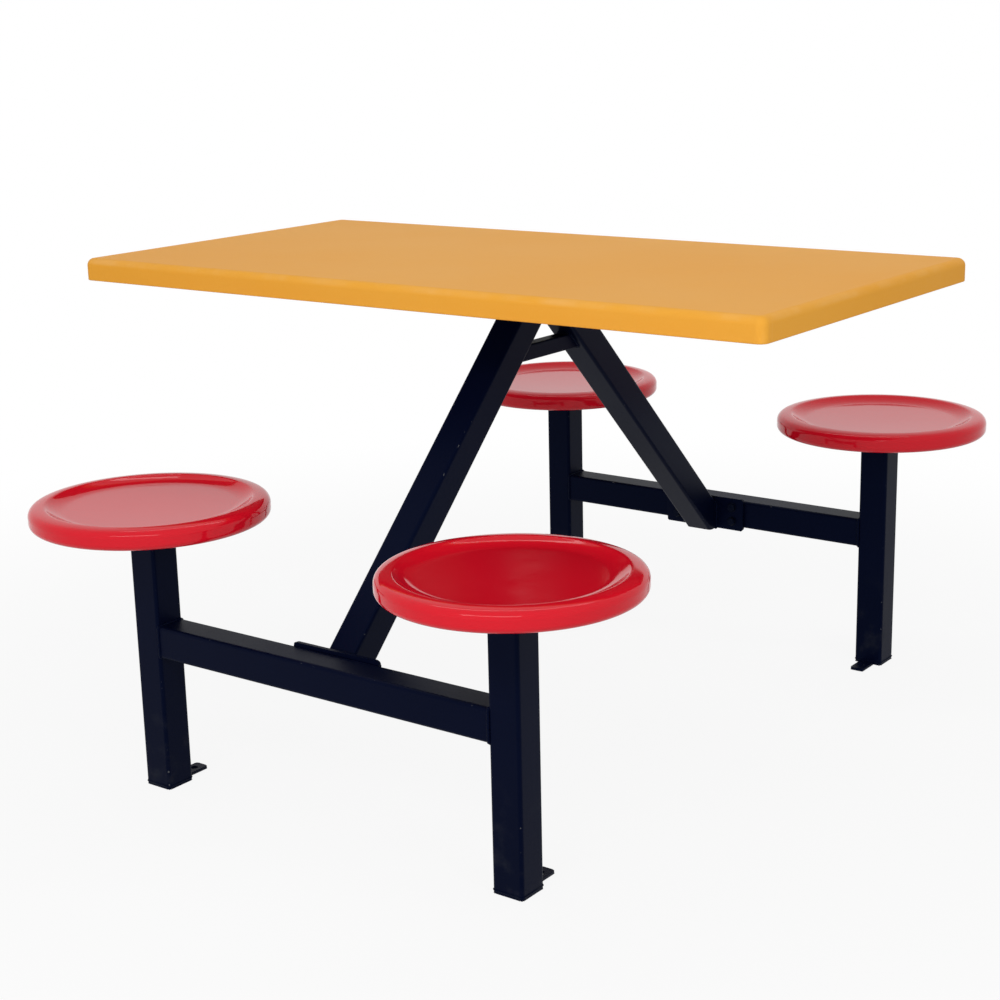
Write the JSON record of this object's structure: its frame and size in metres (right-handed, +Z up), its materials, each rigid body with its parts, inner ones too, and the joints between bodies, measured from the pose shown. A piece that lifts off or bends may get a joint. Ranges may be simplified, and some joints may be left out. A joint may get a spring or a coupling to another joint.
{
  "type": "canteen table with swivel seats",
  "caption": "Rectangular canteen table with a moulded top on a leaning-leg steel frame that carries round dished seats on square posts, each seat turning on its post.",
  "frame": {"origin": "on the floor under the middle of the tabletop", "axes": "+Z up, +X along the tabletop's long side, +Y across it towards the back pair of seats"},
  "size_m": [1.265, 1.446, 0.762],
  "materials": {
    "top_orange": "satin gel coat, orange yellow",
    "seat_red": "gloss gel coat, deep red",
    "frame_black": "satin black powder coat",
    "plywood": "bare plywood",
    "zinc": "zinc-plated steel",
    "bolt_black": "black-coated steel",
    "turned_steel": "turned bright steel",
    "bush_nylon": "natural nylon",
    "cap_black": "black moulded plastic"
  },
  "bodies": {
    "frame": {"tabletop_shell": "top_orange", "tabletop_core": "plywood", "tabletop_screws": "zinc", "cross_bearer": "frame_black", "front_bearer": "frame_black", "back_bearer": "frame_black", "bearer_end_caps": "cap_black", "leg_brace": "frame_black", "front_leg": "frame_black", "front_flange": "frame_black", "front_flange_bolts": "bolt_black", "front_rail_nuts": "zinc", "front_rail": "frame_black", "back_leg": "frame_black", "back_flange": "frame_black", "back_flange_bolts": "bolt_black", "back_rail_nuts": "zinc", "back_rail": "frame_black", "front_left_post": "frame_black", "front_left_foot_plate": "frame_black", "front_left_head_plate": "frame_black", "front_left_bearing_housing": "frame_black", "front_left_swivel_bushes": "bush_nylon", "front_right_post": "frame_black", "front_right_foot_plate": "frame_black", "front_right_head_plate": "frame_black", "front_right_bearing_housing": "frame_black", "front_right_swivel_bushes": "bush_nylon", "back_left_post": "frame_black", "back_left_foot_plate": "frame_black", "back_left_head_plate": "frame_black", "back_left_bearing_housing": "frame_black", "back_left_swivel_bushes": "bush_nylon", "back_right_post": "frame_black", "back_right_foot_plate": "frame_black", "back_right_head_plate": "frame_black", "back_right_bearing_housing": "frame_black", "back_right_swivel_bushes": "bush_nylon"},
    "front_left_seat": {"front_left_seat_shell": "seat_red", "front_left_seat_plate": "frame_black", "front_left_seat_screws": "zinc", "front_left_spindle": "turned_steel", "front_left_lock_nut": "zinc"},
    "front_right_seat": {"front_right_seat_shell": "seat_red", "front_right_seat_plate": "frame_black", "front_right_seat_screws": "zinc", "front_right_spindle": "turned_steel", "front_right_lock_nut": "zinc"},
    "back_left_seat": {"back_left_seat_shell": "seat_red", "back_left_seat_plate": "frame_black", "back_left_seat_screws": "zinc", "back_left_spindle": "turned_steel", "back_left_lock_nut": "zinc"},
    "back_right_seat": {"back_right_seat_shell": "seat_red", "back_right_seat_plate": "frame_black", "back_right_seat_screws": "zinc", "back_right_spindle": "turned_steel", "back_right_lock_nut": "zinc"}
  },
  "joints": [
    {"name": "front_left_seat_swivel", "type": "hinge", "parent": "frame", "child": "front_left_seat", "pos_m": [-0.271, -0.545, 0.416], "axis": [0, 0, 1], "continuous": true},
    {"name": "front_right_seat_swivel", "type": "hinge", "parent": "frame", "child": "front_right_seat", "pos_m": [0.393, -0.545, 0.416], "axis": [0, 0, 1], "continuous": true},
    {"name": "back_left_seat_swivel", "type": "hinge", "parent": "frame", "child": "back_left_seat", "pos_m": [-0.271, 0.545, 0.416], "axis": [0, 0, 1], "continuous": true},
    {"name": "back_right_seat_swivel", "type": "hinge", "parent": "frame", "child": "back_right_seat", "pos_m": [0.393, 0.545, 0.416], "axis": [0, 0, 1], "continuous": true}
  ]
}
